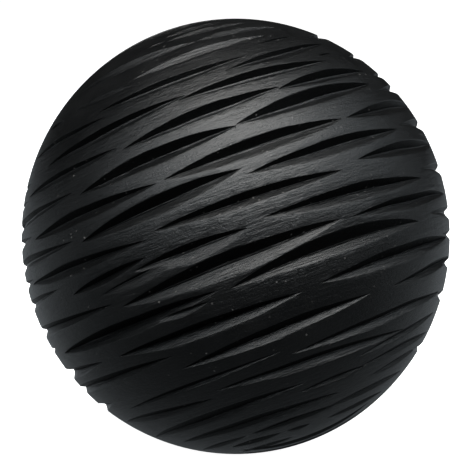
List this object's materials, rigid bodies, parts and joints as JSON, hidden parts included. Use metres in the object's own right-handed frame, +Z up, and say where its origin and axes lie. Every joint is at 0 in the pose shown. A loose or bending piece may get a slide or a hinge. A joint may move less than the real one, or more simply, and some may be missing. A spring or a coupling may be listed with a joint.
{
  "type": "case opening friction ball",
  "caption": "Hollow rubber ball with overlapping lens-shaped grip cuts all round, and a stoppered air valve, pressed on a screwed watch case back to turn it.",
  "frame": {"origin": "centre of the ball", "axes": "+Z up, -Y towards the viewer and the working side of the ball, +Y out through the valve"},
  "size_m": [0.0649, 0.0643, 0.0662],
  "materials": {
    "cover_rubber": "satin black with a leathery grain, hand-cut lens grooves with dull, torn upper walls, a little dust",
    "bladder_rubber": "matte black butyl with a fine talc bloom",
    "patch_rubber": "matte black, buffed for cement",
    "neck_rubber": "satin moulded black",
    "stopper_rubber": "satin moulded charcoal"
  },
  "bodies": {
    "ball": {"grip_cover": "cover_rubber", "bladder": "bladder_rubber", "neck_patch": "patch_rubber", "valve_neck": "neck_rubber"},
    "stopper": {"stopper": "stopper_rubber"}
  },
  "joints": [
    {"name": "stopper_pull", "type": "slide", "parent": "ball", "child": "stopper", "axis": [0, 1, 0], "range_m": [0, 0.009]}
  ]
}
